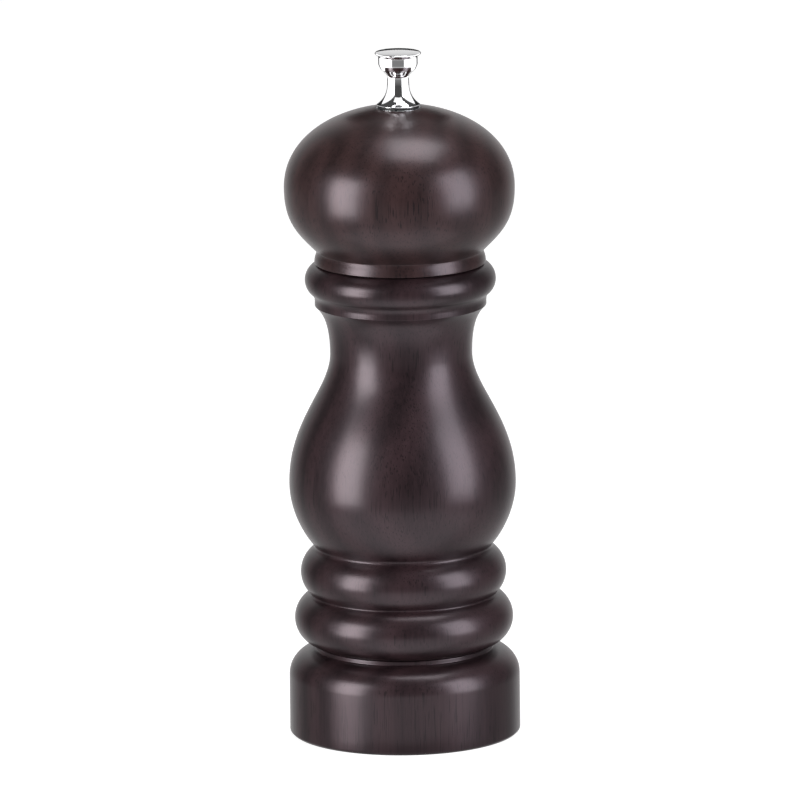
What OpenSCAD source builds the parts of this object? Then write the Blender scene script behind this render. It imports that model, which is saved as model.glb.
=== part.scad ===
// Turned wooden pepper mill: a baluster body with a turning head, and a steel
// grinding mechanism that hangs on a square shaft through the middle.
// Origin: centre of the base, on the surface that the mill stands on. +Z is up.
// Heights in the first two sections are rises, so each one lifts all above it.

/* [Turned body] */
// Diameter of the plain foot
foot_d = 55; // [50:0.5:66]
// Height of the plain foot, up to the start of its rounded shoulder
foot_h = 14; // [11:0.5:20]
// Chamfer round the bottom edge of the foot
foot_chamfer = 0.6; // [0.3:0.1:1.2]
// Rise of the rounded shoulder on the foot
shoulder_h = 7.5; // [6:0.1:10]
// Diameter of the small step at the top of the shoulder
step_d = 42.2; // [41:0.2:44]
// Height of the small step
step_h = 1.1; // [0.5:0.1:1.6]
// Diameter at the bottom of the groove above the shoulder
low_groove_d = 40.4; // [36:0.2:44]
// Diameter of the lower bead
low_bead_d = 52.1; // [48:0.1:63]
// Rise of the lower bead, from groove to groove
low_bead_h = 12.4; // [10:0.1:15]
// Diameter at the bottom of the groove between the two beads
mid_groove_d = 44; // [38:0.2:46]
// Diameter of the upper bead
up_bead_d = 49; // [47:0.1:59]
// Rise of the upper bead, from groove to groove
up_bead_h = 11.3; // [9:0.1:14]
// Diameter at the bottom of the groove under the vase
top_groove_d = 41.4; // [36:0.2:44]
// Diameter of the vase at its widest
vase_d = 54; // [45:0.5:65]
// Rise from the groove under the vase to its widest place
vase_low_h = 15.6; // [13:0.1:19]
// Rise from the widest place of the vase to the neck
vase_up_h = 31.3; // [26:0.1:38]
// Diameter of the neck, the slimmest place
neck_d = 33.8; // [32:0.2:42]
// Rise from the neck to the fillet under the collar
throat_h = 11.8; // [10:0.1:15]
// Diameter of the narrow fillet under the collar
fillet_d = 40.8; // [38:0.2:43]
// Rise of the fillet under the collar
fillet_h = 2.4; // [1.5:0.1:4]
// Diameter of the collar bead
collar_d = 45.4; // [44:0.2:54]
// Rise of the collar bead, up to the top face of the body
collar_h = 7.6; // [6.5:0.1:10]
// Diameter of the top face of the body
lip_d = 39.8; // [36:0.2:42]

/* [Turned head] */
// Diameter of the edge of the head that turns on the body
edge_d = 40.8; // [38:0.2:44]
// Diameter of the waist under the round of the head
waist_d = 39.7; // [36:0.1:44]
// Rise from the edge of the head to its waist
waist_h = 2.7; // [2:0.1:4]
// Diameter of the head at its widest
head_d = 54.8; // [46:0.2:66]
// Rise from the waist to the widest place of the head
head_low_h = 15.2; // [12:0.1:19]
// Rise from the widest place of the head to its crown
head_up_h = 19.4; // [16:0.1:24]
// Depth of the flat that is cut in the crown for the knob
land_drop = 0.8; // [0.5:0.1:1.5]
// How far the flat in the crown reaches past the knob's skirt
land_margin = 0.15; // [0.1:0.05:0.5]
// Length of the tenon that centres the head in the body
tenon_len = 12; // [8:0.5:16]
// Radial gap between the tenon and its socket
tenon_gap = 0.25; // [0.15:0.05:0.5]

/* [Bores in the body] */
// Diameter of the peppercorn chamber
chamber_d = 25; // [20:0.5:30]
// How much wider in radius the head's socket is than the chamber
socket_step = 1.5; // [1:0.1:2]
// Free depth left in the socket under the drive plate's screws
socket_spare = 1.3; // [1:0.1:3]
// Depth of the pocket in the base
pocket_h = 8; // [7:0.1:10]

/* [Glide ring] */
// Thickness of the glide ring between head and body
glide_t = 0.45; // [0.3:0.05:1]
// How far the glide ring stays back from the edges of the body's top face
glide_inset = 0.6; // [0.3:0.1:1]

/* [Mechanism housing] */
// Outside diameter of the housing tube
housing_d = 27; // [24:0.5:30]
// Wall of the housing tube beside the stator
housing_wall = 1; // [0.8:0.1:1.4]
// Width of the inner ledge that the stator seats against
ledge_w = 0.6; // [0.4:0.1:1]
// How far the housing flange reaches past the tube
flange_w = 6; // [5.8:0.1:7]
// Thickness of the housing flange
flange_t = 1.2; // [1:0.1:1.5]
// Height of the spider at the top of the housing
spider_t = 2; // [1.5:0.1:4]
// Width of each spider arm
arm_w = 2.6; // [2:0.1:3.5]
// Number of spider arms
arms = 3; // [3:1:4]
// Wall of the spider's hub
hub_wall = 1.2; // [1:0.1:1.5]
// Wall of the guide bush
bush_wall = 1.35; // [1:0.05:1.5]
// Thickness of the guide bush's thrust flange
bush_flange_t = 0.8; // [0.6:0.1:1.2]

/* [Shaft] */
// Width across the flats of the square shaft
shaft_w = 5; // [4.6:0.1:5.2]
// Diameter of the shaft's journal and of its threaded end
thread_d = 4; // [3.5:0.5:4]
// Length of the round, threaded top of the shaft, up to the knob
round_len = 9; // [8:0.5:16]
// Length of the journal below the retaining bar's bridge
journal_tail = 0.6; // [0.3:0.1:1]
// Lift of the shaft from the coarsest to the finest setting
lift = 1.4; // [0.8:0.1:1.4]

/* [Burrs] */
// Height of the rotor burr
rotor_h = 14; // [11:0.5:17]
// Radial room for the stator burr beside the wide end of the rotor burr
stator_room = 2.75; // [2.4:0.05:3.2]
// Taper of both burrs: radius lost for each unit of height
burr_taper = 0.25; // [0.2:0.01:0.28]
// Height of the stator burr
stator_h = 10.5; // [9:0.5:11]
// Radial gap between the burrs at the finest setting
fine_gap = 0.1; // [0.1:0.05:0.3]
// Number of teeth round each burr
burr_teeth = 20; // [14:1:24]
// Depth of the tooth grooves
tooth_depth = 0.7; // [0.4:0.1:0.9]
// Number of deep feed grooves on the rotor
feed_grooves = 4; // [3:1:5]
// Skew of the tooth grooves, in degrees
tooth_skew = 14; // [5:1:18]

/* [Spring] */
// Length of the spring at the coarsest setting
spring_len = 8.75; // [7.5:0.25:12]
// Diameter of the spring wire
wire_d = 0.9; // [0.6:0.05:1]
// Number of turns between the two closed ends
spring_turns = 3.5; // [3:0.5:5]

/* [Sheet and turned metal] */
// Thickness of the retaining bar and of its bridge
bar_t = 1.2; // [1:0.1:1.4]
// Width of the retaining bar
bar_w = 8; // [6:0.5:10]
// Height from the underside of the bridge to the housing flange
bar_depth = 4.6; // [4.2:0.1:5]
// Thickness of the drive plate
plate_t = 1.5; // [1:0.1:2.5]
// How far the ends of the drive plate stay back from the tenon's side
plate_inset = 2.25; // [1.5:0.05:3]
// Width of the drive plate
plate_w = 12; // [10:0.5:15]
// Thickness of the spring washer, rotor washer and circlip
washer_t = 0.6; // [0.4:0.1:0.8]
// Thickness of the knob washer
knob_washer_t = 0.4; // [0.3:0.1:0.8]
// Length of the plated bush in the crown of the head
head_bush_len = 6; // [4:0.5:6.5]
// Wall of that bush where the shaft's bore widens for it
head_bush_step = 1; // [0.8:0.1:1.2]
// Thickness of that bush's flange
head_bush_flange_t = 0.5; // [0.4:0.1:0.7]

/* [Screws] */
// Shank diameter of the wood screws
screw_d = 2.8; // [2.4:0.1:3]
// Head diameter of the wood screws
screw_head_d = 5; // [4.4:0.1:5.4]
// Head height of the wood screws
screw_head_h = 1.4; // [1:0.1:1.6]
// Length of the wood screws under the head
screw_len = 10; // [8:0.5:14]

/* [Adjusting knob] */
// Height of the knob
knob_h = 13.1; // [11:0.1:16]
// Diameter of the rim at the top of the knob
rim_d = 11; // [9.5:0.1:14]
// Diameter of the drum under the rim
drum_d = 9.3; // [8:0.1:9.4]
// Diameter of the knob's neck
knob_neck_d = 5.1; // [5:0.1:6.4]
// How far the skirt that stands on the head reaches past the head bush
skirt_cover = 0.26; // [0.2:0.01:1]
// Depth of the threaded hole in the knob
knob_bore_h = 4.6; // [4:0.1:5]

/* [Fits] */
// Gap between faces that turn or slide on each other
run_gap = 0.05; // [0.03:0.01:0.1]
// Gap round a piece that is seated in its hole
seat_gap = 0.05; // [0.03:0.01:0.1]
// Gap on each flat between the square shaft and its square holes
square_gap = 0.1; // [0.05:0.05:0.2]
// Gap between the shaft's corners and its bore through the head
corner_gap = 0.45; // [0.3:0.05:0.8]
// Gap between the edge of the housing flange and the pocket's wall
pocket_gap = 0.5; // [0.3:0.1:1]
// Gap round a screw shank where it passes through metal
screw_gap = 0.2; // [0.1:0.05:0.3]

/* [Hidden] */
$fn = 64;
// Steps along each curve of an outline
curve_n = 14;
// How far a cutting shape runs past the face that it cuts
over = 1;

// Heights of the turned body's features, from the foot up
shoulder_z = foot_h + shoulder_h;
mid_groove_z = shoulder_z + low_bead_h;
top_groove_z = mid_groove_z + up_bead_h;
vase_z = top_groove_z + vase_low_h;
neck_z = vase_z + vase_up_h;
fillet_z = neck_z + throat_h;
collar_z = fillet_z + fillet_h;
body_top = collar_z + collar_h;

// Heights of the head's features
head_z = body_top + glide_t + run_gap;
waist_z = head_z + waist_h;
head_mid_z = waist_z + head_low_h;
crown_z = head_mid_z + head_up_h;
land_z = crown_z - land_drop;
tenon_z = head_z - tenon_len;

// Mechanism heights, from the bar at the bottom up
flange_z = pocket_h - flange_t;
bridge_z = flange_z - bar_depth;
bridge_top = bridge_z + bar_t;
clip_z = bridge_top + 2 * run_gap;
rotor_washer_z = clip_z + washer_t;
rotor_z = rotor_washer_z + washer_t;
rotor_top = rotor_z + rotor_h;
stator_top = flange_z + stator_h;
spring_z = rotor_top + run_gap;
spring_washer_z = spring_z + spring_len + run_gap;
bush_z = spring_washer_z + washer_t + run_gap;
spider_z = bush_z + bush_flange_t;
housing_top = spider_z + spider_t;

// Heights at the knob
head_bush_z = land_z - head_bush_len + head_bush_flange_t;
knob_washer_z = land_z + head_bush_flange_t + run_gap;
knob_z = knob_washer_z + knob_washer_t + run_gap;
shaft_top = knob_z + knob_bore_h - lift - 4 * run_gap;
square_top = knob_z - round_len;

// Radii of the bores and of what fits in them
chamber_r = chamber_d / 2;
socket_r = chamber_r + socket_step;
tenon_r = socket_r - tenon_gap;
socket_z = tenon_z - plate_t - screw_head_h - socket_spare;
housing_r = housing_d / 2;
stator_bore_r = housing_r - housing_wall;
stator_r = stator_bore_r - seat_gap;
ledge_r = stator_bore_r - ledge_w;
flange_r = housing_r + flange_w;
pocket_r = flange_r + pocket_gap;
screw_ring_r = (housing_r + flange_r) / 2;
corner_r = shaft_w / sqrt(2);
shaft_turn_r = corner_r + 2 * run_gap;
bush_r = shaft_turn_r + bush_wall;
hub_bore_r = bush_r + seat_gap;
hub_r = hub_bore_r + hub_wall;
thread_r = thread_d / 2;
rotor_r = stator_r - stator_room;
rotor_lip = 0.4;
// Radius of the burr cone where it would meet height 0, with the rotor at rest
burr_cone_r = rotor_r + burr_taper * (rotor_z + rotor_lip);
rest_gap = fine_gap + burr_taper * lift;
leg_x = rotor_r + 0.9;
plate_r = tenon_r - plate_inset;
plate_screw_r = plate_r - screw_head_d / 2 - 1;
head_bore_r = corner_r + corner_gap;
head_bush_r = head_bore_r + head_bush_step;
skirt_r = head_bush_r + skirt_cover;
land_r = skirt_r + land_margin;
spring_r = shaft_turn_r + wire_d / 2 + 0.8;

// Colours
wood_colour = [0.25, 0.2, 0.21];
steel_colour = [0.62, 0.63, 0.65];
dark_steel = [0.42, 0.43, 0.45];
brass_colour = [0.78, 0.62, 0.3];
chrome_colour = [0.86, 0.87, 0.9];
nylon_colour = [0.12, 0.12, 0.12];

// ---- Outline functions: every point is [radius, height] ----

// Points of a cubic curve from a to d with handles b and c, without point a
function curve(a, b, c, d) = [
  for (i = [1:curve_n])
    let (t = i / curve_n, u = 1 - t)
      u * u * u * a + 3 * u * u * t * b + 3 * u * t * t * c + t * t * t * d
];

// Height above z0 of the centre of the circle that passes through radius r0 at z0
// and r1 at z0 + h, and whose greatest radius from the axis is r
function bead_centre(r0, r1, h, r) =
  let (a = r - r0, b = r - r1)
    abs(b - a) < 0.001 ? h / 2 : (sqrt(a * b * (h * h + (b - a) * (b - a))) - a * h) / (b - a);

// Points of a round bead from [r0, z0] to [r1, z0 + h], without its first point
function bead(r0, r1, z0, h, r) =
  let (
    c = bead_centre(r0, r1, h, r),
    a = r - r0,
    rad = (a * a + c * c) / (2 * a),
    from = atan2(-c, r0 - r + rad),
    to = atan2(h - c, r1 - r + rad)
  )
  [
    for (i = [1:curve_n])
      let (t = from + (to - from) * i / curve_n)
        [r - rad + rad * cos(t), z0 + c + rad * sin(t)]
  ];

// Outline of the body, from the bottom chamfer up to its top face
function body_outline() =
  let (
    foot = foot_d / 2,
    low = low_groove_d / 2,
    step = step_d / 2,
    step_z = shoulder_z - step_h,
    mid = mid_groove_d / 2,
    top = top_groove_d / 2,
    vase = vase_d / 2,
    neck = neck_d / 2,
    fil = fillet_d / 2,
    soft = vase_low_h * 0.17
  )
  concat(
    [[foot - foot_chamfer, 0], [foot, foot_chamfer], [foot, foot_h]],
    curve(
      [foot, foot_h], [foot, foot_h + shoulder_h * 0.56],
      [step + shoulder_h * 0.36, step_z], [step, step_z]
    ),
    [[step, shoulder_z]],
    bead(low, mid, shoulder_z, low_bead_h, low_bead_d / 2),
    bead(mid, top, mid_groove_z, up_bead_h, up_bead_d / 2),
    curve(
      [top, top_groove_z], [top + soft, top_groove_z + soft],
      [vase, vase_z - vase_low_h * 0.45], [vase, vase_z]
    ),
    curve(
      [vase, vase_z], [vase, vase_z + vase_up_h * 0.48],
      [neck, neck_z - vase_up_h * 0.28], [neck, neck_z]
    ),
    curve(
      [neck, neck_z], [neck, neck_z + throat_h * 0.72],
      [fil - throat_h * 0.1, fillet_z - throat_h * 0.1], [fil, fillet_z]
    ),
    [[fil, collar_z]],
    bead(fil, lip_d / 2, collar_z, collar_h, collar_d / 2)
  );

// Outline of the head, from its lower edge up to the crown
function head_outline() =
  let (edge = edge_d / 2, waist = waist_d / 2, wide = head_d / 2)
  concat(
    [[edge - 0.3, head_z], [edge, head_z + 0.3]],
    curve(
      [edge, head_z + 0.3], [edge - 0.1, waist_z - waist_h * 0.4],
      [waist, waist_z - waist_h * 0.4], [waist, waist_z]
    ),
    curve(
      [waist, waist_z], [waist + head_low_h * 0.3, waist_z + head_low_h * 0.3],
      [wide, head_mid_z - head_low_h * 0.54], [wide, head_mid_z]
    ),
    curve(
      [wide, head_mid_z], [wide, head_mid_z + head_up_h * 0.635],
      [wide * 0.515, crown_z], [0, crown_z]
    )
  );

// Outline of the knob, from the skirt up to its crown
function knob_outline() =
  let (
    skirt = skirt_r,
    neck = knob_neck_d / 2,
    drum = drum_d / 2,
    rim = rim_d / 2,
    neck_z = knob_z + knob_h * 0.5,
    cup_z = knob_z + knob_h * 0.66,
    drum_z = knob_z + knob_h * 0.75,
    rim_z = knob_z + knob_h * 0.94
  )
  concat(
    [[skirt - 0.15, knob_z], [skirt, knob_z + 0.25]],
    curve(
      [skirt, knob_z + 0.25], [skirt * 0.62, knob_z + knob_h * 0.12],
      [neck, knob_z + knob_h * 0.25], [neck, neck_z]
    ),
    curve(
      [neck, neck_z], [neck, neck_z + knob_h * 0.05],
      [neck + 0.4, cup_z - knob_h * 0.08], [drum * 0.88, cup_z]
    ),
    [[drum, drum_z], [drum, rim_z - 0.5], [rim - 0.1, rim_z], [rim, rim_z + 0.15]],
    [[rim - 0.15, rim_z + 0.4], [rim * 0.5, knob_z + knob_h - 0.1], [0, knob_z + knob_h]]
  );

// ---- Shared shapes ----

// Solid of revolution under an outline that starts at its foot and ends at its top
module turned(outline) {
  bottom = outline[0][1];
  top = outline[len(outline) - 1][1];
  rotate_extrude()
    polygon(concat([[0, bottom]], outline, outline[len(outline) - 1][0] > 0 ? [[0, top]] : []));
}

// Flat ring
module ring(outer, inner, z, t) {
  translate([0, 0, z])
    difference() {
      cylinder(r = outer, h = t);
      translate([0, 0, -over])
        cylinder(r = inner, h = t + 2 * over);
    }
}

// Hole along Z
module hole(r, z, top) {
  translate([0, 0, z])
    cylinder(r = r, h = top - z);
}

// Square hole along Z for the shaft, from z up to top
module square_hole(z, top) {
  w = shaft_w + 2 * square_gap;
  translate([-w / 2, -w / 2, z])
    cube([w, w, top - z]);
}

// The places of a pair of screws on a circle, at z, the first at the given angle
module pair(radius, angle, z) {
  for (side = [0, 180])
    rotate([0, 0, angle + side])
      translate([radius, 0, z])
        children();
}

// Wood screw, head down: the underside of its head lies in the plane z = 0
module wood_screw() {
  tip = screw_d * 0.8;
  difference() {
    union() {
      translate([0, 0, -screw_head_h * 0.6])
        cylinder(d = screw_head_d, h = screw_head_h * 0.6);
      translate([0, 0, -screw_head_h])
        cylinder(d1 = screw_head_d * 0.7, d2 = screw_head_d, h = screw_head_h * 0.4);
      translate([0, 0, -screw_head_h * 0.3])
        cylinder(d = screw_d, h = screw_len - tip + screw_head_h * 0.3);
      translate([0, 0, screw_len - tip])
        cylinder(d1 = screw_d, d2 = screw_d * 0.15, h = tip);
    }
    for (turn = [0, 90])
      rotate([0, 0, turn])
        translate([-screw_head_d * 0.28, -screw_d * 0.12, -screw_head_h - over])
          cube([screw_head_d * 0.56, screw_d * 0.24, screw_head_h * 0.55 + over]);
  }
}

// Pilot hole in wood for one screw, open at z = 0
module pilot() {
  translate([0, 0, -over])
    cylinder(d = screw_d + 2 * seat_gap, h = screw_len + 0.5 + over);
}

// V grooves round a cone about the axis: the cone has radius r at height z and
// loses burr_taper for each unit of height; side is 1 to cut inwards from its
// outside and -1 to cut outwards from its inside
module grooves(count, r, z, len, depth, skew, side) {
  slant = atan(burr_taper);
  for (i = [0:count - 1])
    rotate([0, 0, 360 * i / count])
      translate([r, 0, z])
        rotate([skew, -slant, 0])
          translate([0, 0, -len / 2])
            linear_extrude(len)
              polygon([[-side * depth, 0], [side * depth, -depth], [side * depth, depth]]);
}

// Radius of the rotor's cone at height z, with the mill at its coarsest setting
function cone_r(z) = burr_cone_r - burr_taper * z;

// ---- Pieces fixed in the body ----

module body_shell() {
  color(wood_colour)
    difference() {
      turned(body_outline());
      hole(pocket_r, -over, pocket_h);
      hole(housing_r + 2 * seat_gap, 0, housing_top + 6 * seat_gap);
      hole(chamber_r, 0, body_top + over);
      hole(socket_r, socket_z, body_top + over);
      pair(screw_ring_r, 0, flange_z - bar_t)
        pilot();
      pair(screw_ring_r, 90, flange_z)
        pilot();
    }
}

module glide_ring() {
  color(nylon_colour)
    ring(lip_d / 2 - glide_inset, socket_r + glide_inset, body_top, glide_t);
}

module mechanism_housing() {
  ledge_z = stator_top + seat_gap;
  color(steel_colour)
    difference() {
      union() {
        ring(flange_r, stator_bore_r, flange_z, flange_t);
        ring(housing_r, stator_bore_r, flange_z, ledge_z - flange_z);
        ring(housing_r, ledge_r, ledge_z, housing_top - ledge_z);
        ring(hub_r, hub_bore_r, spider_z, spider_t);
        for (i = [0:arms - 1])
          rotate([0, 0, 90 + 360 * i / arms])
            translate([hub_r - 0.5, -arm_w / 2, spider_z])
              cube([ledge_r - hub_r + 1, arm_w, spider_t]);
      }
      pair(screw_ring_r, 0, flange_z)
        hole(screw_d / 2 + screw_gap, -over, flange_t + over);
      pair(screw_ring_r, 90, flange_z)
        hole(screw_d / 2 + screw_gap, -over, flange_t + over);
      key_slots(seat_gap);
    }
}

// Two keys that stop the stator from turning, or with a gap the slots for them
module key_slots(gap) {
  key_w = 3;
  key_h = 3;
  key_r = stator_bore_r + housing_wall * 0.6;
  for (side = [45, 225])
    rotate([0, 0, side])
      translate([stator_r - 1, -key_w / 2 - gap, flange_z - (gap > 0 ? over : 0)])
        cube([key_r - stator_r + 1 + gap, key_w + 2 * gap, key_h + gap + (gap > 0 ? over : 0)]);
}

module housing_screws() {
  color(dark_steel)
    pair(screw_ring_r, 90, flange_z)
      wood_screw();
}

module guide_bush() {
  color(brass_colour)
    union() {
      ring(bush_r + 1, shaft_turn_r, bush_z, bush_flange_t);
      ring(bush_r, shaft_turn_r, bush_z, bush_flange_t + spider_t);
    }
}

module stator_burr() {
  throat_z = flange_z + stator_h * 0.64;
  mouth_r = ledge_r - 0.3;
  color(dark_steel)
    difference() {
      union() {
        rotate_extrude()
          polygon([
            [cone_r(flange_z) + rest_gap, flange_z],
            [stator_r, flange_z],
            [stator_r, stator_top],
            [mouth_r, stator_top],
            [cone_r(throat_z) + rest_gap, throat_z]
          ]);
        key_slots(0);
      }
      grooves(
        burr_teeth, cone_r(flange_z) + rest_gap, flange_z, stator_h * 1.7,
        tooth_depth, -tooth_skew, -1
      );
    }
}

// Hat-shaped strap under the rotor; its bridge carries the shaft's journal
module retaining_bar() {
  outer = leg_x + bar_t;
  color(steel_colour)
    difference() {
      intersection() {
        rotate([90, 0, 0])
          linear_extrude(bar_w, center = true)
            polygon([
              [-flange_r, flange_z], [-flange_r, flange_z - bar_t],
              [-outer, flange_z - bar_t], [-outer, bridge_z],
              [outer, bridge_z], [outer, flange_z - bar_t],
              [flange_r, flange_z - bar_t], [flange_r, flange_z],
              [leg_x, flange_z], [leg_x, bridge_top],
              [-leg_x, bridge_top], [-leg_x, flange_z]
            ]);
        hole(flange_r - 0.3, 0, flange_z + over);
      }
      hole(thread_r + run_gap, bridge_z - over, bridge_top + over);
      pair(screw_ring_r, 0, flange_z - bar_t)
        hole(screw_d / 2 + screw_gap, -over, bar_t + over);
    }
}

module retaining_bar_screws() {
  color(dark_steel)
    pair(screw_ring_r, 0, flange_z - bar_t)
      wood_screw();
}

// ---- Pieces that turn with the shaft ----

module spring_washer() {
  color(steel_colour)
    difference() {
      hole(bush_r + 0.8, spring_washer_z, spring_washer_z + washer_t);
      square_hole(spring_washer_z - over, spring_washer_z + washer_t + over);
    }
}

// Height of the wire's centre after the given number of turns: both end turns lie
// close, and the turns between share what is left
function wire_z(turn) =
  let (
    close = wire_d + 0.1,
    open = (spring_len - wire_d - 2 * close) / spring_turns
  )
  spring_z + wire_d / 2 + close * min(turn, 1)
    + open * min(max(turn - 1, 0), spring_turns)
    + close * max(turn - 1 - spring_turns, 0);

module compression_spring() {
  sides = 8;
  rings_per_turn = 18;
  turns = spring_turns + 2;
  last = round(turns * rings_per_turn);
  points = [
    for (i = [0:last])
      let (a = 360 * i / rings_per_turn, z = wire_z(i / rings_per_turn))
        for (j = [0:sides - 1])
          let (b = 360 * j / sides, r = spring_r + wire_d / 2 * cos(b))
            [r * cos(a), r * sin(a), z + wire_d / 2 * sin(b)]
  ];
  walls = [
    for (i = [0:last - 1])
      for (j = [0:sides - 1])
        let (k = (j + 1) % sides)
          [i * sides + j, (i + 1) * sides + j, (i + 1) * sides + k, i * sides + k]
  ];
  ends = [
    [for (j = [0:sides - 1]) j],
    [for (j = [0:sides - 1]) last * sides + sides - 1 - j]
  ];
  color(steel_colour)
    polyhedron(points, concat(walls, ends));
}

// Square bar with a round journal below and a round, threaded end above
module drive_shaft() {
  chamfer = 0.3;
  color(steel_colour)
    union() {
      translate([-shaft_w / 2, -shaft_w / 2, rotor_z])
        cube([shaft_w, shaft_w, square_top - rotor_z]);
      rotate_extrude()
        polygon([
          [0, bridge_z - journal_tail],
          [thread_r - chamfer, bridge_z - journal_tail],
          [thread_r, bridge_z - journal_tail + chamfer],
          [thread_r, clip_z - seat_gap / 2],
          [thread_r - 0.4, clip_z - seat_gap / 2],
          [thread_r - 0.4, rotor_washer_z],
          [thread_r, rotor_washer_z],
          [thread_r, rotor_z + over],
          [0, rotor_z + over]
        ]);
      rotate_extrude()
        polygon([
          [0, square_top - over],
          [thread_r, square_top - over],
          [thread_r, shaft_top - chamfer],
          [thread_r - chamfer, shaft_top],
          [0, shaft_top]
        ]);
    }
}

module rotor_burr() {
  top_r = cone_r(rotor_top);
  fine_z = rotor_z + rotor_h * 0.3;
  feed_z = rotor_z + rotor_h * 0.8;
  color(dark_steel)
    difference() {
      rotate_extrude()
        polygon([
          [0, rotor_z],
          [rotor_r - rotor_lip, rotor_z],
          [rotor_r, rotor_z + rotor_lip],
          [top_r, rotor_top],
          [0, rotor_top]
        ]);
      square_hole(rotor_z - over, rotor_top + over);
      grooves(burr_teeth, cone_r(fine_z), fine_z, rotor_h * 0.9, tooth_depth, tooth_skew, 1);
      grooves(feed_grooves, cone_r(feed_z), feed_z, rotor_h * 0.7, tooth_depth * 2, tooth_skew, 1);
    }
}

module rotor_washer() {
  color(steel_colour)
    ring(rotor_r / 2, thread_r + run_gap, rotor_washer_z, washer_t);
}

// Open ring that snaps into the groove in the shaft's journal
module shaft_circlip() {
  inner = thread_r - 0.4 + seat_gap;
  outer = thread_r + 1.3;
  color(dark_steel)
    difference() {
      ring(outer, inner, clip_z, washer_t);
      translate([0, -inner * 0.7, clip_z - over])
        cube([outer + over, inner * 1.4, washer_t + 2 * over]);
    }
}

// ---- Pieces of the head ----

module head_shell() {
  color(wood_colour)
    difference() {
      union() {
        turned(head_outline());
        hole(tenon_r, tenon_z, head_z + over);
      }
      hole(head_bore_r, tenon_z - over, crown_z + over);
      hole(head_bush_r + seat_gap, head_bush_z, crown_z + over);
      hole(land_r, land_z, crown_z + over);
      pair(plate_screw_r, 0, tenon_z - plate_t)
        pilot();
    }
}

module head_bush() {
  bore = thread_r + 2 * run_gap;
  color(steel_colour)
    union() {
      ring(head_bush_r, bore, head_bush_z, head_bush_len);
      ring(land_r - land_margin, bore, land_z, head_bush_flange_t);
    }
}

// Steel bar under the tenon that turns the square shaft
module drive_plate() {
  z = tenon_z - plate_t;
  color(steel_colour)
    difference() {
      intersection() {
        hole(plate_r, z, tenon_z);
        translate([-plate_r, -plate_w / 2, z])
          cube([2 * plate_r, plate_w, plate_t]);
      }
      square_hole(z - over, tenon_z + over);
      pair(plate_screw_r, 0, z)
        hole(screw_d / 2 + screw_gap, -over, plate_t + over);
    }
}

module drive_plate_screws() {
  color(dark_steel)
    pair(plate_screw_r, 0, tenon_z - plate_t)
      wood_screw();
}

// ---- Knob ----

module knob_washer() {
  color(nylon_colour)
    ring(skirt_r - 0.3, thread_r + 2 * run_gap, knob_washer_z, knob_washer_t);
}

module adjusting_knob() {
  color(chrome_colour)
    difference() {
      turned(knob_outline());
      hole(thread_r + run_gap, knob_z - over, knob_z + knob_bore_h);
    }
}

body_shell();
glide_ring();
mechanism_housing();
housing_screws();
guide_bush();
stator_burr();
retaining_bar();
retaining_bar_screws();
spring_washer();
compression_spring();
drive_shaft();
rotor_burr();
rotor_washer();
shaft_circlip();
head_shell();
head_bush();
drive_plate();
drive_plate_screws();
knob_washer();
adjusting_knob();
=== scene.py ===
import math

import bmesh
import bpy
import numpy as np
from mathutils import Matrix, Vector


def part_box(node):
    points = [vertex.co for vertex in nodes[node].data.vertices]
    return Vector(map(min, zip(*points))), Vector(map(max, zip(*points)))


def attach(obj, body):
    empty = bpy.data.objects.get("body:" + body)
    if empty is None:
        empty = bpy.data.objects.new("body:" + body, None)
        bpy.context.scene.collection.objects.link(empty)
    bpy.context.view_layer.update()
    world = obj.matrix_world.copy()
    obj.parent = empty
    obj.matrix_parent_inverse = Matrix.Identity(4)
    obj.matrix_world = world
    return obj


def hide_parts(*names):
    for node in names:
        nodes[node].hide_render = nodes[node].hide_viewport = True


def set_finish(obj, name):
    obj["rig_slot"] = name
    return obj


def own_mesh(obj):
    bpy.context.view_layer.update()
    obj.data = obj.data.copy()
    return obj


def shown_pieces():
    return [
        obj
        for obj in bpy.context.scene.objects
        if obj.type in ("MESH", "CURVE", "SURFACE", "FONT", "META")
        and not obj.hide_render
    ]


# Turned wooden pepper mill with a chrome knob. Everything is in metres; shapes
# are written in millimetres and scaled once, when their mesh is made.

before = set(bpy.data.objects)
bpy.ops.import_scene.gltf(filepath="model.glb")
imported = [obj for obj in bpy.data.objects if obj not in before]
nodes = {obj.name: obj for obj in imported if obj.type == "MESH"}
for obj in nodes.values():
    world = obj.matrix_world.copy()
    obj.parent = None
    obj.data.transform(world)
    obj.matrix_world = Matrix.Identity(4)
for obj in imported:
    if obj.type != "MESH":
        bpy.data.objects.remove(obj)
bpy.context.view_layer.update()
mm = 0.001


def nodeHeights(node):
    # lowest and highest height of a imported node, in millimetres
    low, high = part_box(node)
    return low.z / mm, high.z / mm


# An outline is an array of [radius, height] rows, in millimetres.


def bezier(a, b, c, d, count=40):
    # cubic curve: (1-t)^3 a + 3(1-t)^2 t b + 3(1-t) t^2 c + t^3 d
    t = np.linspace(0.0, 1.0, count)[:, None]
    a, b, c, d = (np.array(p, float) for p in (a, b, c, d))
    u = 1 - t
    return u**3 * a + 3 * u * u * t * b + 3 * u * t * t * c + t**3 * d


def roundBead(start, end, widest, count=36):
    # arc through start and end whose widest radius is given: its centre sits at the
    # height where both ends give the same arc radius (a*a + dz*dz) / 2a
    (r0, z0), (r1, z1) = start, end
    a, b, h = widest - r0, widest - r1, z1 - z0
    if abs(b - a) < 1e-3:
        c = h / 2
    else:
        c = (math.sqrt(a * b * (h * h + (b - a) ** 2)) - a * h) / (b - a)
    radius = (a * a + c * c) / (2 * a)
    first = math.atan2(-c, r0 - widest + radius)
    last = math.atan2(h - c, r1 - widest + radius)
    t = np.linspace(first, last, count)
    return np.c_[widest - radius + radius * np.cos(t), z0 + c + radius * np.sin(t)]


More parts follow.
